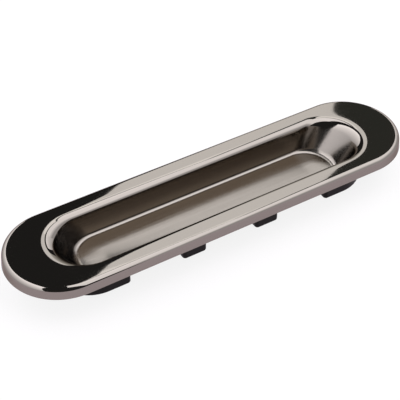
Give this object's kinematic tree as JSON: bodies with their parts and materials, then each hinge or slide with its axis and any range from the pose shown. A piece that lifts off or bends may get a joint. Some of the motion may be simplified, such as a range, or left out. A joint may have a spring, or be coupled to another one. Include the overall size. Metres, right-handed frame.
{
  "type": "recessed pull handle",
  "caption": "Oval recessed pull for a sliding door: a black nickel plated pressed cover with a finger cup, on a black plastic backing whose tongues press into a routed pocket.",
  "frame": {"origin": "middle of the plane that the eight tongues stand on, under the centre of the plate", "axes": "+X along the handle, +Y across it, +Z out of the door face, the way the finger cup opens"},
  "size_m": [0.15, 0.038, 0.0138],
  "materials": {
    "plated_cover": "polished black nickel plating, satin on the floor of the cup",
    "moulded_backing": "moulded black ABS with a fine matt texture"
  },
  "bodies": {
    "root": {"cover": "plated_cover", "backing": "moulded_backing"}
  },
  "joints": []
}
